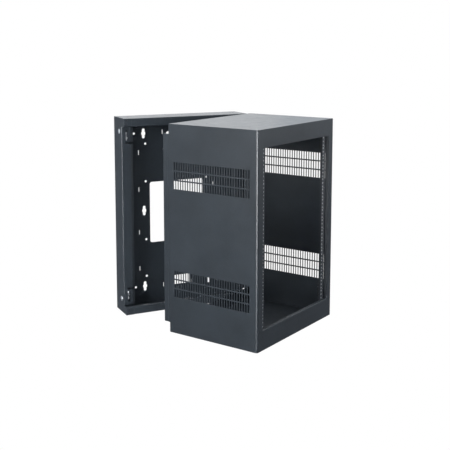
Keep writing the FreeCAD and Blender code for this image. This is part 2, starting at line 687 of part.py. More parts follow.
def rear_strip():
    """Left rear strip: lapped inside the side panel, stepped in, with a short return."""
    start = BAY_REAR - REAR_STRIP_LAP
    step = BAY_REAR + REAR_STRIP_STEP_AT
    outer = -HALF_W + SHEET
    path = [(outer, start), (outer, step), (-STRIP_OUTER, step + REAR_STRIP_STEP),
            (-STRIP_OUTER, STRIP_REAR), (-STRIP_OUTER + REAR_STRIP_RETURN, STRIP_REAR)]
    strip = folded_sheet(path, -SHEET, -STRIP_TOP, STRIP_TOP)
    gaps = [box(-STRIP_OUTER + SHEET + 0.5, -STRIP_OUTER + REAR_STRIP_RETURN + 1, STRIP_REAR - 2 * SHEET,
                STRIP_REAR + SHEET, end * LEAF_Z - STRIP_GAP / 2, end * LEAF_Z + STRIP_GAP / 2)
            for end in (-1, 1)]
    return cut(strip, gaps)


def rack_rail():
    """Right equipment rail with three threaded holes in each rack unit."""
    reach = RACK_UNITS * UNIT / 2 + RAIL_OVERRUN
    path = [(RAIL_INNER_X, RAIL_FRONT), (RAIL_OUTER_X, RAIL_FRONT), (RAIL_OUTER_X, RAIL_FRONT + RAIL_SIDE)]
    rail = folded_sheet(path, RAIL_SHEET, RACK_MIDDLE - reach, RACK_MIDDLE + reach)
    holes = []
    for unit in range(RACK_UNITS):
        middle = RACK_MIDDLE + (unit + 0.5 - RACK_UNITS / 2) * UNIT
        for offset in HOLE_OFFSETS:
            ends = ((RAIL_HOLE_X, RAIL_FRONT - 2, middle + offset),
                    (RAIL_HOLE_X, RAIL_FRONT + 8, middle + offset))
            if offset == 0.0 and unit in (0, RACK_UNITS - 1):
                holes.append(rod(RAIL_HOLE_RADIUS, *ends))
            else:
                holes.append(prism(RAIL_HOLE_RADIUS, *ends, SCREW_SIDES))
    return cut(rail, holes + rail_screws())


def rail_screws():
    """Screws that hold a rail to its two brackets."""
    y = RAIL_FRONT + RAIL_SCREW_BACK
    inner = RAIL_OUTER_X - RAIL_SHEET - RAIL_SCREW_REACH
    outer = RAIL_OUTER_X + BRACKET_SHEET + RAIL_SCREW_REACH
    return [prism(RAIL_SCREW_RADIUS, (inner, y, end * BRACKET_Z + step),
                  (outer, y, end * BRACKET_Z + step), SCREW_SIDES)
            for end in (-1, 1) for step in (-RAIL_SCREW_STEP, RAIL_SCREW_STEP)]


def rail_bracket():
    """Z-shaped bracket from the right side panel to the rail."""
    web = RAIL_FRONT + RAIL_SIDE + BRACKET_CLEAR
    side = HALF_W - SHEET - BRACKET_SHEET
    path = [(RAIL_OUTER_X, RAIL_FRONT + BRACKET_START), (RAIL_OUTER_X, web),
            (side, web), (side, web + BRACKET_FOOT)]
    bracket = folded_sheet(path, -BRACKET_SHEET, BRACKET_Z - BRACKET_HEIGHT / 2,
                           BRACKET_Z + BRACKET_HEIGHT / 2)
    return cut(bracket, rail_screws())


def build_centre():
    """All pieces of the swinging centre section."""
    side = side_panel()
    add("left_side_panel", turned(side))
    add("right_side_panel", turned(mirror_x(side)))
    add("top_panel", turned(top_panel()))
    add("bottom_panel", turned(mirror_z(end_panel())))
    add("top_bezel", turned(bezel(TOP_BEZEL)))
    add("bottom_bezel", turned(mirror_z(bezel(BOTTOM_BEZEL))))
    strip = rear_strip()
    add("left_rear_strip", turned(strip))
    add("right_rear_strip", turned(mirror_x(strip)))
    rail = rack_rail()
    add("right_rack_rail", turned(rail))
    add("left_rack_rail", turned(mirror_x(rail)))
    bracket = rail_bracket()
    for name, shape in (("right", bracket), ("left", mirror_x(bracket))):
        add(name + "_rail_bracket_top", turned(shape))
        add(name + "_rail_bracket_bottom", turned(mirror_z(shape)))
    screws = rail_screws()
    add_group("rail_screws", [turned(screw) for screw in screws + [mirror_x(s) for s in screws]])
    leaf = hinge_leaf()
    add("hinge_leaf_top", turned(leaf))
    add("hinge_leaf_bottom", turned(mirror_z(leaf)))
    tab = latch_tab()
    add("latch_tab_top", turned(tab))
    add("latch_tab_bottom", turned(mirror_z(tab)))
    foot = (-HALF_W + SHEET, BAY_REAR - BAY_STUD_FROM_REAR, BAY_STUD_Z)
    stud = prism(STUD_RADIUS, foot, (foot[0] + STUD_LENGTH, foot[1], foot[2]), SCREW_SIDES)
    add("centre_ground_stud", turned(stud))
    nut = hex_nut(foot, (foot[0] + NUT_HEIGHT, foot[1], foot[2]))
    add("centre_ground_nut", turned(nut))


def main():
    """Build every piece and write it out."""
    os.makedirs("parts", exist_ok=True)
    build_pan()
    build_plungers()
    build_centre()
    for name, shape in PIECES.items():
        shape.exportStep("parts/" + name + ".step")
    print(len(PIECES), "nodes")


main()
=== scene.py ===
"""Looks of a swing-out wall mount network cabinet.

The frame holds the sheet metal at its real size. This file gives every sheet its finish,
models the small hardware that the frame keeps plain, and sets up the studio and the camera.
Metres throughout.
"""

import json
import math

import bmesh
import bpy
from bpy.props import FloatProperty, FloatVectorProperty, IntProperty, PointerProperty
from mathutils import Matrix, Vector


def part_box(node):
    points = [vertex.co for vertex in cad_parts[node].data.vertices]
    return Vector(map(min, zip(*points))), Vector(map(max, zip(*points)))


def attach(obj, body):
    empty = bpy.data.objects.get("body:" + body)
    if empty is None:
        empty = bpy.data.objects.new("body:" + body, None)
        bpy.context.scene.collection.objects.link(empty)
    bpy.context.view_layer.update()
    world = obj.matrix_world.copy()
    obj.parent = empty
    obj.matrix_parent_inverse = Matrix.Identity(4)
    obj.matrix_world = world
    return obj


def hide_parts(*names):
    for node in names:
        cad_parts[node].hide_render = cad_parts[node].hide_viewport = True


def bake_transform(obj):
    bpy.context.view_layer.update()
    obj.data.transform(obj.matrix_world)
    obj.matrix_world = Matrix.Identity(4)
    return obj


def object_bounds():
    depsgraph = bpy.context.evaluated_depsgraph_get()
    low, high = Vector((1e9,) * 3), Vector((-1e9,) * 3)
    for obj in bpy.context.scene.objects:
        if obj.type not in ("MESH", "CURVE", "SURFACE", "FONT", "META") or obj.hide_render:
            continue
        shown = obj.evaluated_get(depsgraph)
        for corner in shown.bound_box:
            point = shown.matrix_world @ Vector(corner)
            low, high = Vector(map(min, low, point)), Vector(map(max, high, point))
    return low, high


bl_info = {
    "name": "Wall Mount Network Cabinet",
    "version": (1, 0, 0),
    "blender": (4, 5, 0),
    "location": "3D View > Sidebar > Cabinet",
    "description": "Finishes, small hardware and a studio for a swing-out wall cabinet",
    "category": "Add Mesh",
}

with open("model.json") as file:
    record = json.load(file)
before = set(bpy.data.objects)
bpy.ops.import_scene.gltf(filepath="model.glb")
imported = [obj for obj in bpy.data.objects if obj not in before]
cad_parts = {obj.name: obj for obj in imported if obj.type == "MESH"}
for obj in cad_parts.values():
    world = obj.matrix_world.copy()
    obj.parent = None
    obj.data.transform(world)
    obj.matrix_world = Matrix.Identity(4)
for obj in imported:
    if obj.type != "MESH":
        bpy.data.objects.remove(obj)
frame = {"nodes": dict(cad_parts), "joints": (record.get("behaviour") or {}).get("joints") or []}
CAD_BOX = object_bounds()

# ---- how the centre section stands ------------------------------------------
SWING = next(joint for joint in frame["joints"] if joint["name"] == "swing")
HINGE = Vector(SWING["pos_m"])
OPEN_ANGLE = -math.radians(SWING["range_deg"][0])
OPENED = (Matrix.Translation(HINGE) @ Matrix.Rotation(OPEN_ANGLE, 4, "Z")
          @ Matrix.Translation(-HINGE))
ENDS = ("top", "bottom")
SHARP_ANGLE = math.radians(35.0)    # edges that turn more than this stay sharp

# ---- 19 inch rack -----------------------------------------------------------
RACK_UNIT = 0.04445
HOLE_OFFSETS = (-0.015875, 0.0, 0.015875)
BELOW_HOLE = RACK_UNIT / 2 + HOLE_OFFSETS[0]    # from a unit's edge to its first hole

# ---- which finish each node of the frame has --------------------------------
SHEET_NODES = ("wall_panel", "pan_top_flange", "pan_bottom_flange", "pan_left_side",
               "pan_right_side", "left_side_panel", "right_side_panel", "top_panel",
               "bottom_panel", "top_bezel", "bottom_bezel", "left_rear_strip", "right_rear_strip",
               "corner_plate_top_left", "corner_plate_top_right",
               "corner_plate_bottom_left", "corner_plate_bottom_right")
RAIL_NODES = ("left_rack_rail", "right_rack_rail")
BRACKET_NODES = ("left_rail_bracket_top", "left_rail_bracket_bottom",
                 "right_rail_bracket_top", "right_rail_bracket_bottom",
                 "hinge_bracket_top", "hinge_bracket_bottom", "latch_bracket_top",
                 "latch_bracket_bottom", "hinge_leaf_top", "hinge_leaf_bottom",
                 "latch_tab_top", "latch_tab_bottom")

# ---- studio: name, degrees right of the front, degrees up, distance, size, setting ------
LAMPS = (("left_lamp", -62, 12, 4.5, (2.0, 2.0), "left_power"),
         ("right_lamp", 55, 15, 4.5, (2.0, 2.0), "right_power"),
         ("top_lamp", 150, 75, 3.2, (2.6, 2.6), "top_power"),
         ("back_lamp", 165, 50, 4.5, (2.0, 2.0), "back_power"))
CARDS = (("front_card", -30, -5, 5.0, (2.4, 1.5), "front_card"),
         ("back_card", 166, 10, 5.0, (3.0, 1.2), "back_card"),
         ("dark_flag", 26, 2, 5.0, (3.0, 4.0), "flag"),
         ("dark_back_flag", 212, 12, 5.0, (2.4, 2.2), "flag"))
FLOOR_SIZE = (60.0, 60.0)
WHITE = (1, 1, 1, 1)


# ---- settings ---------------------------------------------------------------
class CabinetFinish(bpy.types.PropertyGroup):
    """Colours and surface of the finishes."""
    coat_color: FloatVectorProperty(
        name="Coat", description="Powder coat of the sheets", subtype="COLOR", size=3,
        min=0.0, max=1.0, default=(0.027, 0.034, 0.042))
    rail_color: FloatVectorProperty(
        name="Rail coat", description="Smoother coat of the equipment rails and brackets",
        subtype="COLOR", size=3, min=0.0, max=1.0, default=(0.035, 0.041, 0.048))
    # Black coat of the brackets, darkened below the sheets' coat as painted shade for brackets in
    # the pan's corners and behind the rails.
    bracket_color: FloatVectorProperty(
        name="Brackets", description="Black coat of the brackets, latch tabs and hinge leaves",
        subtype="COLOR", size=3, min=0.0, max=1.0, default=(0.018, 0.021, 0.026))
    # Plated zinc of the plungers and springs, darker than the bright zinc.
    dull_zinc_color: FloatVectorProperty(
        name="Dull zinc", description="Dark passivated plungers and springs",
        subtype="COLOR", size=3, min=0.0, max=1.0, default=(0.42, 0.43, 0.45))
    zinc_color: FloatVectorProperty(
        name="Zinc", description="Bright plated studs, plugs and threads",
        subtype="COLOR", size=3, min=0.0, max=1.0, default=(0.80, 0.82, 0.84))
    screw_color: FloatVectorProperty(
        name="Screws", description="Black oxide of the screws", subtype="COLOR", size=3,
        min=0.0, max=1.0, default=(0.030, 0.031, 0.034))
    mark_color: FloatVectorProperty(
        name="Unit marks", description="Paint of the rack unit marks", subtype="COLOR", size=3,
        min=0.0, max=1.0, default=(0.62, 0.64, 0.66))
    coat_roughness: FloatProperty(
        name="Coat roughness", description="How dull the powder coat is", subtype="FACTOR",
        min=0.05, max=1.0, default=0.35)
    grain: FloatProperty(
        name="Grain", description="Width of the bumps of the powder coat", unit="LENGTH",
        min=0.0002, max=0.01, default=0.0011)
    edge_radius: FloatProperty(
        name="Edge radius", description="Soft edge that the coat gives a cut sheet",
        unit="LENGTH", min=0.0, max=0.002, default=0.0007)


class CabinetHardware(bpy.types.PropertyGroup):
    """Sizes of the small hardware."""
    spring_wire: FloatProperty(
        name="Spring wire", description="Thickness of the spring wire", unit="LENGTH",
        min=0.0004, max=0.0012, default=0.0009)
    spring_turns: IntProperty(
        name="Spring turns", description="Turns of each compression spring",
        min=3, max=7, default=6)
    screw_head: FloatProperty(
        name="Corner screw head", description="Radius of the corner plates' screw heads",
        unit="LENGTH", min=0.002, max=0.005, default=0.0036)
    screw_head_height: FloatProperty(
        name="Head height", description="Height of the corner plates' screw heads",
        unit="LENGTH", min=0.0004, max=0.0012, default=0.0011)
    bolt_head: FloatProperty(
        name="Rail bolt head", description="Radius of the rail bolts' flanges", unit="LENGTH",
        min=0.004, max=0.007, default=0.0055)
    socket_depth: FloatProperty(
        name="Socket depth", description="Depth of a corner screw's socket as a share of its head",
        subtype="FACTOR", min=0.2, max=0.9, default=0.8)
    thread_pitch: FloatProperty(
        name="Thread pitch", description="Pitch of the earth studs' threads", unit="LENGTH",
        min=0.0005, max=0.0015, default=0.0010)
    hole_spacing: FloatProperty(
        name="Hole spacing", description="Distance between the two rails' columns of holes",
        unit="LENGTH", default=0.4651)
    tap_rim: FloatProperty(
        name="Tapped rim", description="Radius of the bright rim round each tapped hole",
        unit="LENGTH", min=0.0025, max=0.0035, default=0.0029)
    flange_height: FloatProperty(
        name="Rear flange", description="Height of the end panels' rear flanges below their hems",
        unit="LENGTH", default=0.036)
    hem_height: FloatProperty(
        name="Hem", description="Height of the hem on each rear flange", unit="LENGTH",
        min=0.004, max=0.02, default=0.016)
    mark_width: FloatProperty(
        name="Unit mark", description="Length of the mark at each rack unit", unit="LENGTH",
        min=0.001, max=0.008, default=0.0055)


class CabinetStudio(bpy.types.PropertyGroup):
    """Floor, room, lamps, cards and camera."""
    floor_drop: FloatProperty(
        name="Floor below", description="How far the floor lies below the cabinet", unit="LENGTH",
        min=0.0, max=3.0, default=1.6)
    floor_color: FloatVectorProperty(
        name="Floor", description="Colour of the floor", subtype="COLOR", size=3,
        min=0.0, max=1.0, default=(0.60, 0.60, 0.60))
    floor_mirror: FloatVectorProperty(
        name="Mirrored floor", description="Colour of the floor in reflections",
        subtype="COLOR", size=3, min=0.0, max=1.0, default=(0.18, 0.19, 0.21))
    sky_strength: FloatProperty(
        name="Room light", description="Even light from the room", min=0.0, max=2.0, default=0.08)
    even_color: FloatVectorProperty(
        name="Room light's colour", description="Colour of the even light", subtype="COLOR",
        size=3, min=0.0, max=2.0, default=(0.72, 1.0, 1.25))
    sky_color: FloatVectorProperty(
        name="Room", description="Colour of the room in reflections", subtype="COLOR", size=3,
        min=0.0, max=2.0, default=(0.99, 1.05, 1.12))
    left_power: FloatProperty(
        name="Left lamp", description="Power of the lamp that faces the side panel, in watts",
        min=0.0, max=2000.0, default=195.0)
    right_power: FloatProperty(
        name="Right lamp", description="Power of the lamp that grazes the front, in watts",
        min=0.0, max=2000.0, default=70.0)
    top_power: FloatProperty(
        name="Top lamp", description="Power of the lamp overhead, in watts",
        min=0.0, max=2000.0, default=60.0)
    back_power: FloatProperty(
        name="Back lamp", description="Power of the lamp behind, in watts",
        min=0.0, max=2000.0, default=50.0)
    front_card: FloatProperty(
        name="Front card", description="Brightness of the card that shows in the rounded corner",
        min=0.0, max=40.0, default=28.0)
    back_card: FloatProperty(
        name="Back card", description="Brightness of the card that shows in the top",
        min=0.0, max=40.0, default=1.5)
    flag: FloatProperty(
        name="Flags", description="Brightness of the two cards that keep reflections dark",
        min=0.0, max=1.0, default=0.0)
    camera_place: FloatVectorProperty(
        name="Camera", description="Where the camera stands", subtype="TRANSLATION", unit="LENGTH",
        size=3, default=(-1.4751, -3.6048, 0.7762))
    camera_turn: FloatProperty(
        name="Turn", description="How far the camera looks to the right of the wall's normal",
        unit="ROTATION", default=math.radians(25.517))
    camera_tilt: FloatProperty(
        name="Tilt", description="How far the camera looks down", unit="ROTATION",
        default=math.radians(7.5))
    camera_lens: FloatProperty(
        name="Lens", description="Focal length on a 36 mm sensor, in millimetres", default=68.97)
    camera_shift: FloatProperty(
        name="Shift", description="Vertical shift that sets the cabinet in the middle",
        default=-0.1657)


# ---- materials --------------------------------------------------------------
def add_node(tree, kind, inputs=None, **settings):
    """A node with its settings, and with its inputs set or linked."""
    node = tree.nodes.new(kind)
    for key, value in settings.items():
        setattr(node, key, value)
    for key, value in (inputs or {}).items():
        if isinstance(value, bpy.types.NodeSocket):
            tree.links.new(value, node.inputs[key])
        else:
            node.inputs[key].default_value = value
    return node


def rgba(color, share=1.0):
    """Colour with its alpha, lightened or darkened by a share."""
    return (color[0] * share, color[1] * share, color[2] * share, 1.0)


def noise(tree, coords, scale, detail=3.0, roughness=0.55):
    """Noise texture's value on the piece's own coordinates."""
    return add_node(tree, "ShaderNodeTexNoise",
                    {"Vector": coords, "Scale": scale, "Detail": detail,
                     "Roughness": roughness}).outputs["Fac"]


def ranged(tree, value, low, high):
    """Noise value spread over a range."""
    return add_node(tree, "ShaderNodeMapRange",
                    {"Value": value, "From Min": 0.3, "From Max": 0.7,
                     "To Min": low, "To Max": high}).outputs["Result"]


def start_material(name):
    """Empty node material with its output and its object coordinates."""
    material = bpy.data.materials.new(name)
    material.use_nodes = True
    tree = material.node_tree
    tree.nodes.clear()
    output = add_node(tree, "ShaderNodeOutputMaterial")
    coords = add_node(tree, "ShaderNodeTexCoord").outputs["Object"]
    return material, tree, output, coords


def principled(tree, output, inputs):
    """The finish's shader, joined to the material's output."""
    shader = add_node(tree, "ShaderNodeBsdfPrincipled", inputs)
    tree.links.new(shader.outputs["BSDF"], output.inputs["Surface"])


def emission(tree, color, strength=1.0):
    """Even glow of a colour."""
    return add_node(tree, "ShaderNodeEmission",
                    {"Color": color, "Strength": strength}).outputs["Emission"]


def mixed(tree, factor, first, second):
    """Colour between two others."""
    return add_node(tree, "ShaderNodeMix", {0: factor, 6: first, 7: second},
                    data_type="RGBA").outputs[2]


def two_tones(tree, factor, color, dark, light):
    """Colour that wanders between a darker and a lighter tone."""
    return mixed(tree, factor, rgba(color, dark), rgba(color, light))


def powder_coat(name, color, roughness, grain, edge_radius):
    """Black powder coat: fine bumps, a slightly uneven tone, and soft edges."""
    material, tree, output, coords = start_material(name)
    mottle = noise(tree, coords, scale=7.0, detail=4.0)
    speck = noise(tree, coords, scale=0.35 / grain, detail=2.0)
    blend = add_node(tree, "ShaderNodeMath", {0: mottle, 1: speck}, operation="ADD")
    factor = add_node(tree, "ShaderNodeMath", {0: blend.outputs[0], 1: 0.5}, operation="MULTIPLY")
    color_socket = two_tones(tree, ranged(tree, factor.outputs[0], 0.0, 1.0), color,
                             dark=0.70, light=1.30)
    rough_socket = ranged(tree, noise(tree, coords, scale=23.0),
                          low=roughness - 0.03, high=roughness + 0.03)
    edge = add_node(tree, "ShaderNodeBevel", {"Radius": edge_radius}, samples=4)
    bump = add_node(tree, "ShaderNodeBump",
                    {"Strength": 0.5, "Distance": grain * 0.12,
                     "Height": noise(tree, coords, scale=1.0 / grain, detail=2.0, roughness=0.5),
                     "Normal": edge.outputs["Normal"]})
    principled(tree, output, {"Base Color": color_socket, "Roughness": rough_socket,
                              "Normal": bump.outputs["Normal"]})
    return material


def plated(name, color, roughness):
    """Zinc plate: brushed streaks and cloudy passivation."""
    material, tree, output, coords = start_material(name)
    cloud = noise(tree, coords, scale=160.0, detail=4.0)
    stretch = add_node(tree, "ShaderNodeMapping", {"Vector": coords, "Scale": (1.0, 1.0, 0.08)})
    streak = noise(tree, stretch.outputs["Vector"], scale=2600.0, detail=2.0)
    bump = add_node(tree, "ShaderNodeBump",
                    {"Strength": 0.15, "Distance": 0.00005, "Height": streak})
    principled(tree, output,
               {"Base Color": two_tones(tree, ranged(tree, cloud, 0.0, 1.0), color,
                                        dark=0.84, light=1.1),
                "Roughness": ranged(tree, streak, low=roughness - 0.06, high=roughness + 0.08),
                "Metallic": 1.0, "Normal": bump.outputs["Normal"]})
    return material


def black_oxide(name, color):
    """Black oxide of screws: dark, oily, worn lighter in clouds."""
    material, tree, output, coords = start_material(name)
    cloud = noise(tree, coords, scale=420.0)
    bump = add_node(tree, "ShaderNodeBump",
                    {"Strength": 0.2, "Distance": 0.00004,
                     "Height": noise(tree, coords, scale=3000.0, detail=2.0)})
    principled(tree, output,
               {"Base Color": two_tones(tree, ranged(tree, cloud, 0.0, 1.0), color,
                                        dark=0.8, light=1.9),
                "Roughness": ranged(tree, cloud, low=0.32, high=0.46), "Metallic": 0.5,
                "Normal": bump.outputs["Normal"]})
    return material


def mark_paint(name, color):
    """Printed white paint, a little thin in places."""
    material, tree, output, coords = start_material(name)
    thin = noise(tree, coords, scale=1500.0)
    principled(tree, output,
               {"Base Color": two_tones(tree, ranged(tree, thin, 0.0, 1.0), color,
                                        dark=0.75, light=1.0),
                "Roughness": ranged(tree, thin, low=0.5, high=0.65)})
    return material


# ---- mesh helpers -----------------------------------------------------------
def lathe(bm, profile, segments):
    """Spin a profile of (radius, height) points round Z."""
    points = [bm.verts.new((radius, 0.0, height)) for radius, height in profile]
    lines = [bm.edges.new(pair) for pair in zip(points, points[1:])]
    bmesh.ops.spin(bm, geom=points + lines, cent=(0, 0, 0), axis=(0, 0, 1), dvec=(0, 0, 0),
                   angle=math.tau, steps=segments, use_merge=True, use_duplicate=False)
    bmesh.ops.remove_doubles(bm, verts=bm.verts, dist=1e-6)


def thread(root, crest, pitch, turns, segments):
    """Helical rib round Z, triangular in section and closed at both ends."""
    bm = bmesh.new()
    section = bm.faces.new([bm.verts.new(place) for place in
                            ((root, 0, 0), (crest, 0, pitch / 2), (root, 0, pitch))])
    bmesh.ops.spin(bm, geom=[section], cent=(0, 0, 0), axis=(0, 0, 1),
                   dvec=(0, 0, pitch / segments), angle=math.tau * turns,
                   steps=segments * turns, use_merge=False, use_duplicate=False)
    outwards(bm)
    return bm


def outwards(bm):
    """Turn every face outwards."""
    bmesh.ops.recalc_face_normals(bm, faces=bm.faces)


def block(size):
    """Box of a given size round the origin."""
    bm = bmesh.new()
    bmesh.ops.create_cube(bm, size=1.0)
    bmesh.ops.scale(bm, verts=bm.verts, vec=size)
    return bm


def soften(bm, edges, offset, segments):
    """Round some edges, or chamfer them with one segment."""
    bmesh.ops.bevel(bm, geom=edges, offset=offset, offset_type="OFFSET", segments=segments,
                    profile=0.5, affect="EDGES", material=-1)


def add_copy(bm, part, matrix):
    """Add a placed copy of one bmesh to another."""
    mesh = bpy.data.meshes.new("part")
    part.to_mesh(mesh)
    mesh.transform(matrix)
    bm.from_mesh(mesh)
    bpy.data.meshes.remove(mesh)


def axis_matrix(place, direction):
    """Places a piece modelled along +Z at a point, pointing in a direction."""
    return (Matrix.Translation(place)
            @ Vector(direction).to_track_quat("Z", "Y").to_matrix().to_4x4())


def finish_piece(name, bm, material, body=None):
    """Make the object, smooth but for its sharp edges, and let it ride on its body."""
    mesh = bpy.data.meshes.new(name)
    bm.to_mesh(mesh)
    bm.free()
    mesh.materials.append(bpy.data.materials[material])
    mesh.polygons.foreach_set("use_smooth", [True] * len(mesh.polygons))
    mesh.set_sharp_from_angle(angle=SHARP_ANGLE)
    piece = bpy.data.objects.new(name, mesh)
    bpy.context.scene.collection.objects.link(piece)
    if body:
        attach(piece, body)
    return piece


def solids_of(node):
    """Lowest and highest corner of each separate solid in a CAD node."""
    bm = bmesh.new()
    bm.from_mesh(frame["nodes"][node].data)
    bmesh.ops.remove_doubles(bm, verts=bm.verts, dist=1e-6)
    left = set(bm.verts)
    boxes = []
    while left:
        island = {left.pop()}
        reached = list(island)
        while reached:
            vertex = reached.pop()
            for edge in vertex.link_edges:
                other = edge.other_vert(vertex)
                if other in left:
                    left.remove(other)
                    island.add(other)
                    reached.append(other)
        corners = [vertex.co for vertex in island]
        boxes.append((Vector(map(min, zip(*corners))), Vector(map(max, zip(*corners)))))
    bm.free()
    return sorted(boxes, key=lambda box: tuple(round(value, 5) for value in box[0]))


def closed_box(node):
    """Box of a centre section's node as it lies when the cabinet is closed."""
    back = OPENED.inverted()
    corners = [back @ vertex.co for vertex in frame["nodes"][node].data.vertices]
    return Vector(map(min, zip(*corners))), Vector(map(max, zip(*corners)))


def hole_levels(low, high):
    """Heights of the rail's holes: three to each rack unit, round the rail's middle."""
    units = int((high - low) / RACK_UNIT)
    middle = (low + high) / 2
    return [middle + (unit + 0.5 - units / 2) * RACK_UNIT + offset
            for unit in range(units) for offset in HOLE_OFFSETS]


def socket_head(radius, height, socket, depth):
    """Round screw head that stands on Z = 0, with a six-sided socket."""
    bm = bmesh.new()
    lathe(bm, [(0.0, 0.0), (radius, 0.0), (radius, height * 0.45), (radius * 0.93, height * 0.8),
               (radius * 0.75, height)], 28)
    rim = [edge for edge in bm.edges if edge.is_boundary]
    made = bmesh.ops.create_circle(bm, cap_ends=False, radius=socket, segments=6,
                                   matrix=Matrix.Translation((0, 0, height)))
    hexagon = list({edge for vertex in made["verts"] for edge in vertex.link_edges})
    bmesh.ops.bridge_loops(bm, edges=rim + hexagon)
    walls = bmesh.ops.extrude_edge_only(bm, edges=hexagon)
    deep = [part for part in walls["geom"] if isinstance(part, bmesh.types.BMVert)]
    bmesh.ops.translate(bm, verts=deep, vec=(0, 0, -depth))
    bmesh.ops.contextual_create(bm, geom=deep + [part for part in walls["geom"]
                                                 if isinstance(part, bmesh.types.BMEdge)
                                                 and all(end in deep for end in part.verts)])
    outwards(bm)
    return bm


def hexagon_nut(across, height, bore, chamfer):
    """Hexagon nut that stands on Z = 0, chamfered, with a round bore."""
    bm = bmesh.new()
    radius = across / math.sqrt(3)
    rings = []
    for segments, size in ((6, radius), (24, bore)):
        made = bmesh.ops.create_circle(bm, cap_ends=False, radius=size, segments=segments)
        rings.append(list({edge for vertex in made["verts"] for edge in vertex.link_edges}))
    face = bmesh.ops.bridge_loops(bm, edges=rings[0] + rings[1])["faces"]
    raised = bmesh.ops.extrude_face_region(bm, geom=face)["geom"]
    bmesh.ops.translate(bm, vec=(0, 0, height),
                        verts=[part for part in raised if isinstance(part, bmesh.types.BMVert)])
    outwards(bm)
    corners = [edge for edge in bm.edges
               if all(vertex.co.xy.length > bore * 1.05 for vertex in edge.verts)
               and abs(edge.verts[0].co.z - edge.verts[1].co.z) < 1e-7
               and len(edge.link_faces) == 2 and edge.calc_face_angle() > 1.0]
    soften(bm, corners, chamfer, 1)
    return bm


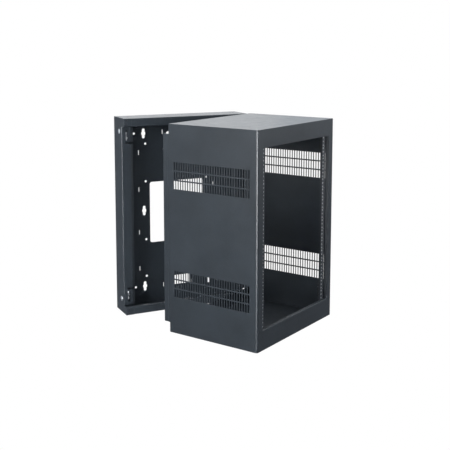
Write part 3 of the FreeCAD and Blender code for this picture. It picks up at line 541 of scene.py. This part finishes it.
# ---- operators --------------------------------------------------------------
class CABINET_OT_stage(bpy.types.Operator):
    """Floor, room, soft lamps, cards for reflections and the camera"""
    bl_idname = "cabinet.stage"
    bl_label = "Studio"

    def execute(self, context):
        studio = context.scene.cabinet_studio
        self.floor(studio)
        self.room(context.scene, studio)
        for make, rows in ((self.lamp, LAMPS), (self.card, CARDS)):
            for name, turn, height, distance, size, setting in rows:
                make(name, self.facing(turn, height, distance), size, getattr(studio, setting))
        self.camera(context.scene, studio)
        context.scene.view_settings.view_transform = "Standard"
        return {"FINISHED"}

    def plane(self, name, size, place, material):
        """Flat piece of the studio, which isn't sampled as a lamp."""
        bm = bmesh.new()
        bmesh.ops.create_grid(bm, x_segments=1, y_segments=1, size=0.5)
        bmesh.ops.scale(bm, verts=bm.verts, vec=(size[0], size[1], 1.0))
        bmesh.ops.transform(bm, verts=bm.verts, matrix=place)
        mesh = bpy.data.meshes.new(name)
        bm.to_mesh(mesh)
        bm.free()
        material.cycles.emission_sampling = "NONE"
        mesh.materials.append(material)
        plane = bpy.data.objects.new(name, mesh)
        bpy.context.scene.collection.objects.link(plane)
        return plane

    def floor(self, studio):
        """Floor that glows white to the camera, so without shadows, and is grey in reflections."""
        material, tree, output, coords = start_material("floor_paint")
        paint = add_node(tree, "ShaderNodeBsdfDiffuse",
                         {"Color": two_tones(tree, noise(tree, coords, scale=3.0),
                                             studio.floor_color, dark=0.99, light=1.01)})
        pale = emission(tree, rgba(studio.floor_mirror))
        white = emission(tree, WHITE)
        glossy = add_node(tree, "ShaderNodeLightPath").outputs["Is Glossy Ray"]
        mirrored = add_node(tree, "ShaderNodeMixShader",
                            {0: glossy, 1: paint.outputs["BSDF"], 2: pale})
        both = add_node(tree, "ShaderNodeMixShader",
                        {0: self.seen(tree), 1: mirrored.outputs["Shader"], 2: white})
        tree.links.new(both.outputs["Shader"], output.inputs["Surface"])
        level = CAD_BOX[0].z - studio.floor_drop
        floor = self.plane("floor", FLOOR_SIZE, Matrix.Translation((0, 0, level)), material)

    def seen(self, tree):
        """1 for rays from the camera or through glass, 0 for light and reflections."""
        path = add_node(tree, "ShaderNodeLightPath").outputs
        return add_node(tree, "ShaderNodeMath",
                        {0: path["Is Camera Ray"], 1: path["Is Transmission Ray"]},
                        operation="MAXIMUM").outputs[0]

    def room(self, scene, studio):
        """World that is white to the camera, pale in reflections, and lights a little, bluish."""
        world = bpy.data.worlds.new("white_room")
        world.use_nodes = True
        tree = world.node_tree
        tree.nodes.clear()
        path = add_node(tree, "ShaderNodeLightPath").outputs
        even = rgba(studio.even_color, studio.sky_strength)
        mirrored = mixed(tree, path["Is Glossy Ray"], even, rgba(studio.sky_color))
        color = mixed(tree, self.seen(tree), mirrored, WHITE)
        back = add_node(tree, "ShaderNodeBackground", {"Color": color, "Strength": 1.0})
        output = add_node(tree, "ShaderNodeOutputWorld")
        tree.links.new(back.outputs["Background"], output.inputs["Surface"])
        world.cycles.sampling_method = "NONE"
        scene.world = world

    def facing(self, turn, height, distance):
        """Placement that faces the cabinet, from degrees right of its front and degrees up."""
        aim = (CAD_BOX[0] + CAD_BOX[1]) / 2
        turn, height = math.radians(turn), math.radians(height)
        way = Vector((math.sin(turn) * math.cos(height), -math.cos(turn) * math.cos(height),
                      math.sin(height)))
        return (Matrix.Translation(aim + way * distance)
                @ (-way).to_track_quat("-Z", "Y").to_matrix().to_4x4())

    def lamp(self, name, place, size, power):
        """Soft square lamp that the camera doesn't see."""
        light = bpy.data.lights.new(name, "AREA")
        light.shape = "RECTANGLE"
        light.size, light.size_y = size
        light.energy = power
        lamp = bpy.data.objects.new(name, light)
        lamp.matrix_world = place
        lamp.visible_camera = False
        bpy.context.scene.collection.objects.link(lamp)

    def card(self, name, place, size, strength):
        """Bright or dark card that only shows in reflections."""
        material, tree, output, _ = start_material(name)
        tree.links.new(emission(tree, WHITE, strength), output.inputs["Surface"])
        card = self.plane(name, size, place, material)
        card.visible_camera = card.visible_diffuse = card.visible_shadow = False

    def camera(self, scene, studio):
        """Camera at the cabinet's left front, above its top."""
        camera = bpy.data.cameras.new("camera")
        camera.sensor_width = 36.0
        camera.lens = studio.camera_lens
        camera.shift_y = studio.camera_shift
        camera.clip_end = 100.0
        turn, tilt = studio.camera_turn, studio.camera_tilt
        ahead = Vector((math.sin(turn) * math.cos(tilt), math.cos(turn) * math.cos(tilt),
                        -math.sin(tilt)))
        holder = bpy.data.objects.new("camera", camera)
        holder.matrix_world = (Matrix.Translation(studio.camera_place)
                               @ ahead.to_track_quat("-Z", "Y").to_matrix().to_4x4())
        scene.collection.objects.link(holder)
        scene.camera = holder


class CABINET_OT_finishes(bpy.types.Operator):
    """Materials, and the coats of the frame's own sheets, rails and brackets"""
    bl_idname = "cabinet.finishes"
    bl_label = "Finishes"

    def execute(self, context):
        finish = context.scene.cabinet_finish
        coats = ((powder_coat("sheet_coat", finish.coat_color, finish.coat_roughness, finish.grain,
                              finish.edge_radius), SHEET_NODES),
                 (powder_coat("rail_coat", finish.rail_color, finish.coat_roughness + 0.03,
                              finish.grain * 0.7, finish.edge_radius), RAIL_NODES),
                 # The brackets' coat carries painted shade: it is darker than the sheets' coat.
                 (powder_coat("bracket_coat", finish.bracket_color, finish.coat_roughness + 0.08,
                              finish.grain * 0.7, finish.edge_radius), BRACKET_NODES))
        plated("zinc", finish.zinc_color, 0.36)
        # The plungers' and springs' zinc is darker than the bright zinc.
        plated("dull_zinc", finish.dull_zinc_color, 0.38)
        black_oxide("screw_black", finish.screw_color)
        mark_paint("mark_paint", finish.mark_color)
        for material, nodes in coats:
            for node in nodes:
                sheet = frame["nodes"][node]
                sheet.data.materials.clear()
                sheet.data.materials.append(material)
        return {"FINISHED"}


class CABINET_OT_springs(bpy.types.Operator):
    """Compression spring round the stem of each plunger"""
    bl_idname = "cabinet.springs"
    bl_label = "Springs"

    def execute(self, context):
        hardware = context.scene.cabinet_hardware
        for kind in ("hinge", "latch"):
            for end in ENDS:
                self.spring(kind, end, hardware)
        return {"FINISHED"}

    def spring(self, kind, end, hardware):
        """One coil, between its plunger and the pan."""
        node = f"{kind}_spring_{end}"
        low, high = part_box(node)
        wire = hardware.spring_wire / 2
        coil = (high.x - low.x) / 2 - wire * 1.4
        steps_per_turn = 20
        steps = steps_per_turn * hardware.spring_turns
        rise = (high.z - low.z - 2 * wire) / steps
        bm = bmesh.new()
        made = bmesh.ops.create_circle(
            bm, cap_ends=True, radius=wire, segments=8,
            matrix=Matrix.Translation((coil, 0, 0)) @ Matrix.Rotation(math.pi / 2, 4, "X"))
        section = list({face for vertex in made["verts"] for face in vertex.link_faces})
        bmesh.ops.spin(bm, geom=section, cent=(0, 0, 0), axis=(0, 0, 1), dvec=(0, 0, rise),
                       angle=math.tau * hardware.spring_turns, steps=steps, use_merge=False,
                       use_duplicate=False)
        middle = (low + high) / 2
        bmesh.ops.translate(bm, verts=bm.verts, vec=(middle.x, middle.y, low.z + wire))
        outwards(bm)
        piece = finish_piece(f"{kind}_coil_{end}", bm, "dull_zinc")
        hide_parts(node)
        ends = [Vector((middle.x, middle.y, low.z)), Vector((middle.x, middle.y, high.z))]
        if end == "bottom":
            ends.reverse()
        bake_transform(piece)


class CABINET_OT_plungers(bpy.types.Operator):
    """Turned plungers with a chamfered pin, a collar, a stem and a pull knob"""
    bl_idname = "cabinet.plungers"
    bl_label = "Plungers"

    def execute(self, context):
        for kind in ("hinge", "latch"):
            for end in ENDS:
                self.plunger(kind, end)
        return {"FINISHED"}

    def plunger(self, kind, end):
        """One plunger, with its pin towards the middle of the cabinet's height."""
        name = f"{kind}_plunger_{end}"
        low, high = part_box(name)
        spring_low, spring_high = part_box(f"{kind}_spring_{end}")
        axis = (spring_low + spring_high) / 2
        up = 1.0 if end == "top" else -1.0
        tip = low.z if end == "top" else high.z
        length = high.z - low.z
        pin, collar, stem, knob, rod = 0.0035, 0.0052, 0.0025, 0.0034, 0.002
        collar_at, collar_high, collar_edge = 0.018, 0.005, 0.0006
        latch_offset = 0.002
        bm = bmesh.new()
        lathe(bm, [(0, 0), (pin * 0.7, 0), (pin, 0.0015), (pin, collar_at),
                   (collar * 0.92, collar_at), (collar, collar_at + collar_edge),
                   (collar, collar_at + collar_high - collar_edge),
                   (collar * 0.92, collar_at + collar_high), (stem, collar_at + collar_high),
                   (stem, length - 0.001), (stem * 0.6, length), (0, length)], 32)
        if up < 0:
            bmesh.ops.rotate(bm, verts=bm.verts, cent=(0, 0, 0),
                             matrix=Matrix.Rotation(math.pi, 3, "X"))
        bmesh.ops.translate(bm, verts=bm.verts, vec=(axis.x, axis.y, tip))
        handle_x = axis.x - latch_offset if kind == "latch" else low.x + knob * 1.08
        level = tip + up * (collar_at + collar_high / 2)
        pull = bmesh.new()
        reach = axis.y - low.y
        lathe(pull, [(0, 0), (rod, 0), (rod, reach - 0.0095), (knob * 0.86, reach - 0.0085),
                     (knob, reach - 0.007), (knob, reach - 0.0016), (knob * 0.8, reach - 0.0003),
                     (knob * 0.5, reach), (0, reach)], 28)
        add_copy(bm, pull, axis_matrix((handle_x, axis.y, level), (0, -1, 0)))
        pull.free()
        if abs(handle_x - axis.x) > collar:
            arm = block((abs(handle_x - axis.x) + rod * 1.6, 2 * rod, 2 * rod))
            soften(arm, arm.edges[:], 0.0006, 2)
            add_copy(bm, arm, Matrix.Translation(((handle_x + axis.x) / 2, axis.y, level)))
            arm.free()
        outwards(bm)
        piece = finish_piece(name + "_turned", bm, "dull_zinc", name)
        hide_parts(name)


class CABINET_OT_corner_screws(bpy.types.Operator):
    """Socket screws of the four corner plates"""
    bl_idname = "cabinet.corner_screws"
    bl_label = "Corner screws"

    def execute(self, context):
        hardware = context.scene.cabinet_hardware
        head = socket_head(hardware.screw_head, hardware.screw_head_height,
                           hardware.screw_head * 0.5,
                           hardware.screw_head_height * hardware.socket_depth)
        shank_radius, tip_radius, tip_long = 0.0019, 0.0012, 0.0008
        bm = bmesh.new()
        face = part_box("corner_plate_top_left")[0].y
        for low, high in solids_of("corner_plate_screws"):
            middle = (low + high) / 2
            add_copy(bm, head, axis_matrix((middle.x, face, middle.z), (0, -1, 0)))
            length = high.y - face
            shank = bmesh.new()
            lathe(shank, [(0, 0), (shank_radius, 0), (shank_radius, length - tip_long),
                          (tip_radius, length), (0, length)], 16)
            add_copy(bm, shank, axis_matrix((middle.x, face, middle.z), (0, 1, 0)))
            shank.free()
        head.free()
        outwards(bm)
        piece = finish_piece("corner_screw_heads", bm, "screw_black", "wall_pan")
        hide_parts("corner_plate_screws")
        return {"FINISHED"}


class CABINET_OT_rail_bolts(bpy.types.Operator):
    """Flanged hexagon bolts and nuts that hold the rails to their brackets"""
    bl_idname = "cabinet.rail_bolts"
    bl_label = "Rail bolts"

    def execute(self, context):
        radius = context.scene.cabinet_hardware.bolt_head
        across_flats, height, chamfer = radius * 1.35, 0.0028, 0.0004
        half_grip, shank_radius, shank_length, clearance = 0.00275, 0.0022, 0.0114, 0.0001
        across = Vector((math.cos(OPEN_ANGLE), math.sin(OPEN_ANGLE), 0))
        back = OPENED.inverted()
        bm = bmesh.new()
        head = bmesh.new()
        lathe(head, [(0, 0), (radius, 0), (radius * 0.96, 0.0007), (radius * 0.7, 0.0012),
                     (0, 0.0012)], 28)
        hexagon = hexagon_nut(across_flats, height, 0.0006, chamfer)
        add_copy(head, hexagon, Matrix.Identity(4))
        nut = hexagon_nut(across_flats, height, shank_radius + clearance, chamfer)
        shank = bmesh.new()
        lathe(shank, [(0, 0), (shank_radius, 0), (shank_radius, shank_length - 0.0006),
                      (0.0016, shank_length), (0, shank_length)], 20)
        for low, high in solids_of("rail_screws"):
            middle = (low + high) / 2
            side = math.copysign(1.0, (back @ middle).x)
            inside = middle - across * side * half_grip
            outside = middle + across * side * half_grip
            add_copy(bm, head, axis_matrix(inside, -across * side))
            add_copy(bm, nut, axis_matrix(outside, across * side))
            add_copy(bm, shank, axis_matrix(inside, across * side))
        for part in (head, hexagon, nut, shank):
            part.free()
        outwards(bm)
        piece = finish_piece("rail_bolts", bm, "screw_black", "centre_section")
        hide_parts("rail_screws")
        return {"FINISHED"}


class CABINET_OT_port_plugs(bpy.types.Operator):
    """Domed plugs of the pan's side ports"""
    bl_idname = "cabinet.port_plugs"
    bl_label = "Port plugs"

    def execute(self, context):
        dome_high, dome_steps = 0.0024, 8
        bm = bmesh.new()
        for low, high in solids_of("port_plugs"):
            middle = (low + high) / 2
            side = math.copysign(1.0, middle.x)
            radius = (high.z - low.z) / 2
            face = high.x if side > 0 else low.x
            wall = abs(high.x if side < 0 else low.x)
            length = abs(face) - wall
            skirt = radius * 0.84
            angles = [step * math.pi / 2 / dome_steps for step in range(dome_steps)]
            dome = [(radius * math.cos(angle) ** 0.6,
                     length - dome_high + dome_high * math.sin(angle)) for angle in angles]
            plug = bmesh.new()
            lathe(plug, [(0, 0.001), (skirt * 0.8, 0.001), (skirt * 0.86, 0), (skirt * 0.95, 0),
                         (skirt, 0.001), (skirt * 0.97, length - dome_high - 0.0002),
                         (radius * 0.97, length - dome_high - 0.0002)]
                  + dome + [(0, length)], 40)
            add_copy(bm, plug, axis_matrix((side * wall, middle.y, middle.z), (side, 0, 0)))
            plug.free()
        outwards(bm)
        piece = finish_piece("port_plug_domes", bm, "zinc", "wall_pan")
        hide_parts("port_plugs")
        return {"FINISHED"}


class CABINET_OT_earth_studs(bpy.types.Operator):
    """Threaded earth studs with their nuts"""
    bl_idname = "cabinet.earth_studs"
    bl_label = "Earth studs"

    def execute(self, context):
        pitch = context.scene.cabinet_hardware.thread_pitch
        inward = Vector((math.cos(OPEN_ANGLE), math.sin(OPEN_ANGLE), 0))
        for prefix, body, direction in (("pan", "wall_pan", Vector((0, -1, 0))),
                                        ("centre", "centre_section", inward)):
            self.stud(prefix, body, direction, pitch)
        return {"FINISHED"}

    def stud(self, prefix, body, direction, pitch):
        """One stud and its nut, pointing in a direction."""
        node = frame["nodes"][f"{prefix}_ground_stud"]
        reach = [vertex.co.dot(direction) for vertex in node.data.vertices]
        length = max(reach) - min(reach)
        low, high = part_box(f"{prefix}_ground_stud")
        middle = (low + high) / 2
        foot = middle - direction * length / 2
        outer, inner = 0.0029, 0.0023
        bm = thread(inner * 0.98, outer, pitch, int(length / pitch) - 1, 20)
        core = bmesh.new()
        lathe(core, [(0, 0), (inner, 0), (inner, length - 0.0006), (inner * 0.8, length),
                     (0, length)], 24)
        add_copy(bm, core, Matrix.Identity(4))
        core.free()
        outwards(bm)
        bmesh.ops.transform(bm, matrix=axis_matrix(foot, direction), verts=bm.verts)
        piece = finish_piece(f"{prefix}_earth_stud", bm, "zinc", body)
        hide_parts(f"{prefix}_ground_stud")
        nut = hexagon_nut(across=0.010, height=0.005, bore=0.0030, chamfer=0.0006)
        bmesh.ops.transform(nut, matrix=axis_matrix(foot, direction), verts=nut.verts)
        piece = finish_piece(f"{prefix}_earth_nut", nut, "zinc", body)
        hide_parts(f"{prefix}_ground_nut")


class CABINET_OT_rail_threads(bpy.types.Operator):
    """Bright tapped threads in the rails' holes"""
    bl_idname = "cabinet.rail_threads"
    bl_label = "Rail threads"

    def execute(self, context):
        hardware = context.scene.cabinet_hardware
        outer, inner, depth, segments, turns = 0.00238, 0.0020, 0.0029, 12, 2
        rim_high, proud = 0.0001, 0.00005
        tapping = thread(outer, inner, depth / (turns + 1), turns, segments)
        lathe(tapping, [(inner, 0), (hardware.tap_rim, 0), (hardware.tap_rim, -rim_high),
                        (inner * 1.1, -rim_high), (inner, 0)], segments)
        outwards(tapping)
        for name, side in (("left", -1.0), ("right", 1.0)):
            low, high = closed_box(f"{name}_rack_rail")
            bm = bmesh.new()
            for level in hole_levels(low.z, high.z):
                place = Vector((side * hardware.hole_spacing / 2, low.y + proud, level))
                add_copy(bm, tapping, OPENED @ axis_matrix(place, (0, 1, 0)))
            finish_piece(f"{name}_rail_threads", bm, "zinc", "centre_section")
        tapping.free()
        return {"FINISHED"}


class CABINET_OT_flange_hems(bpy.types.Operator):
    """Hems along the inner edges of the top and bottom panels' rear flanges"""
    bl_idname = "cabinet.flange_hems"
    bl_label = "Flange hems"

    def execute(self, context):
        hardware = context.scene.cabinet_hardware
        thick, end_gap, lap = 0.0030, 0.005, 0.0005
        for end, side in (("top", 1.0), ("bottom", -1.0)):
            low, high = closed_box(f"{end}_panel")
            length = high.x - low.x - 2 * end_gap
            bm = block((length, thick, hardware.hem_height))
            long_edges = [edge for edge in bm.edges if edge.calc_length() > length / 2]
            soften(bm, long_edges, thick * 0.45, 3)
            level = (max(high.z, -low.z) - hardware.flange_height - hardware.hem_height / 2
                     + lap)
            bmesh.ops.translate(bm, verts=bm.verts, vec=(0.0, high.y - thick / 2, side * level))
            bmesh.ops.transform(bm, matrix=OPENED, verts=bm.verts)
            finish_piece(f"{end}_flange_hem", bm, "sheet_coat",
                         "centre_section")
        return {"FINISHED"}


class CABINET_OT_unit_marks(bpy.types.Operator):
    """Printed mark at each rack unit of both rails"""
    bl_idname = "cabinet.unit_marks"
    bl_label = "Unit marks"

    def execute(self, context):
        width = context.scene.cabinet_hardware.mark_width
        thick, tall, inset = 0.0001, 0.0012, 0.004
        for name in ("left", "right"):
            low, high = closed_box(f"{name}_rack_rail")
            edge = high.x if name == "right" else low.x
            side = 1.0 if name == "right" else -1.0
            bm = bmesh.new()
            for level in hole_levels(low.z, high.z)[::3]:
                bar = block((width, thick, tall))
                bmesh.ops.translate(bar, verts=bar.verts,
                                    vec=(edge - side * (width / 2 + inset), low.y - thick / 2,
                                         level - BELOW_HOLE))
                add_copy(bm, bar, OPENED)
                bar.free()
            outwards(bm)
            finish_piece(f"{name}_unit_marks", bm, "mark_paint",
                         "centre_section")
        return {"FINISHED"}


OPERATORS = (CABINET_OT_stage, CABINET_OT_finishes, CABINET_OT_springs, CABINET_OT_plungers,
             CABINET_OT_corner_screws, CABINET_OT_rail_bolts, CABINET_OT_port_plugs,
             CABINET_OT_earth_studs, CABINET_OT_rail_threads, CABINET_OT_flange_hems,
             CABINET_OT_unit_marks)
SETTINGS = (("cabinet_finish", CabinetFinish), ("cabinet_hardware", CabinetHardware),
            ("cabinet_studio", CabinetStudio))


class VIEW3D_PT_cabinet(bpy.types.Panel):
    """Cabinet's settings and operators in the sidebar"""
    bl_label = "Network Cabinet"
    bl_space_type = "VIEW_3D"
    bl_region_type = "UI"
    bl_category = "Cabinet"

    def draw(self, context):
        for name, group in SETTINGS:
            column = self.layout.column()
            for key in group.__annotations__:
                column.prop(getattr(context.scene, name), key)
        for operator in OPERATORS:
            self.layout.operator(operator.bl_idname)


def register():
    """Register the settings, the operators and the panel."""
    for name, group in SETTINGS:
        bpy.utils.register_class(group)
        setattr(bpy.types.Scene, name, PointerProperty(type=group))
    for operator in OPERATORS + (VIEW3D_PT_cabinet,):
        bpy.utils.register_class(operator)


def unregister():
    """Take them all off again."""
    for operator in (VIEW3D_PT_cabinet,) + OPERATORS[::-1]:
        bpy.utils.unregister_class(operator)
    for name, group in SETTINGS[::-1]:
        delattr(bpy.types.Scene, name)
        bpy.utils.unregister_class(group)


def main():
    """Build the looks."""
    register()
    bpy.ops.cabinet.stage()
    bpy.ops.cabinet.finishes()
    bpy.ops.cabinet.springs()
    bpy.ops.cabinet.plungers()
    bpy.ops.cabinet.corner_screws()
    bpy.ops.cabinet.rail_bolts()
    bpy.ops.cabinet.port_plugs()
    bpy.ops.cabinet.earth_studs()
    bpy.ops.cabinet.rail_threads()
    bpy.ops.cabinet.flange_hems()
    bpy.ops.cabinet.unit_marks()


if __name__ == "__main__":
    main()
